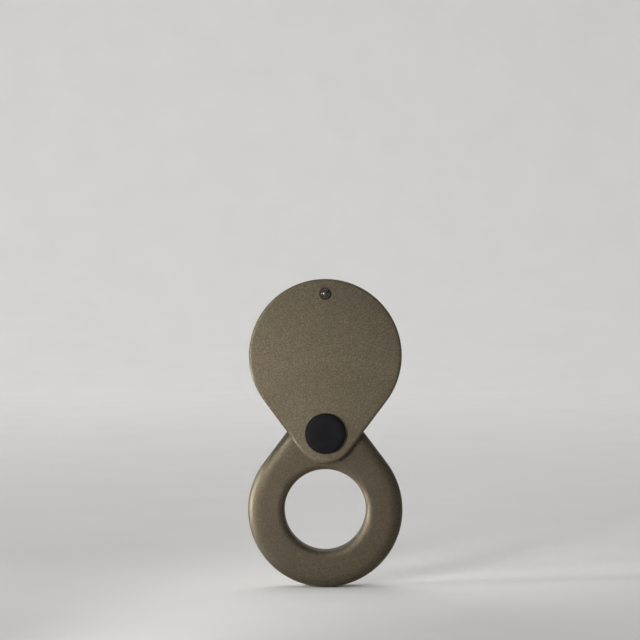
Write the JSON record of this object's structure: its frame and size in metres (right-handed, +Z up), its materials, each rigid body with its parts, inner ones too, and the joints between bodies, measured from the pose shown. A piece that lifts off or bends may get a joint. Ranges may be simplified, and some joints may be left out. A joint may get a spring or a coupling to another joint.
{
  "type": "door viewer cover",
  "caption": "Teardrop privacy cover taped to a door round its viewer, with a flat lid that turns on a capped pivot to shut over the viewer bore.",
  "frame": {"origin": "on the axis of the viewer bore, in the plane of the door's face, which is the tape's adhesive face", "axes": "+Z up the door through the pivot, +Y into the door, -Y off the door towards the room, +X to the right as seen from the room"},
  "size_m": [0.038, 0.0096, 0.0756],
  "materials": {
    "bronze_powder_coat_base": "satin",
    "bronze_powder_coat_lid": "satin",
    "zinc_plated_plate": "satin",
    "zinc_plated_screws": "satin",
    "foam_tape": "matte",
    "turned_steel": "satin",
    "pivot_screw_steel": "satin",
    "spring_steel": "satin",
    "nut_steel": "satin",
    "nylon": "matte",
    "wave_spring_steel": "satin",
    "black_plastic": "satin",
    "dark_rivet": "gloss"
  },
  "bodies": {
    "base": {"base_shell": "bronze_powder_coat_base", "back_plate": "zinc_plated_plate", "plate_screws": "zinc_plated_screws", "foam_tape": "foam_tape", "pivot_sleeve": "turned_steel", "pivot_screw": "pivot_screw_steel", "lock_washer": "spring_steel", "pivot_nut": "nut_steel", "spacer_washer": "nylon", "wave_washer": "wave_spring_steel", "pivot_cap": "black_plastic"},
    "lid": {"lid_plate": "bronze_powder_coat_lid", "finger_knob": "dark_rivet"}
  },
  "joints": [
    {"name": "lid_swing", "type": "hinge", "parent": "base", "child": "lid", "pos_m": [0, -0.0066, 0.019], "axis": [0, -1, 0], "continuous": true}
  ]
}
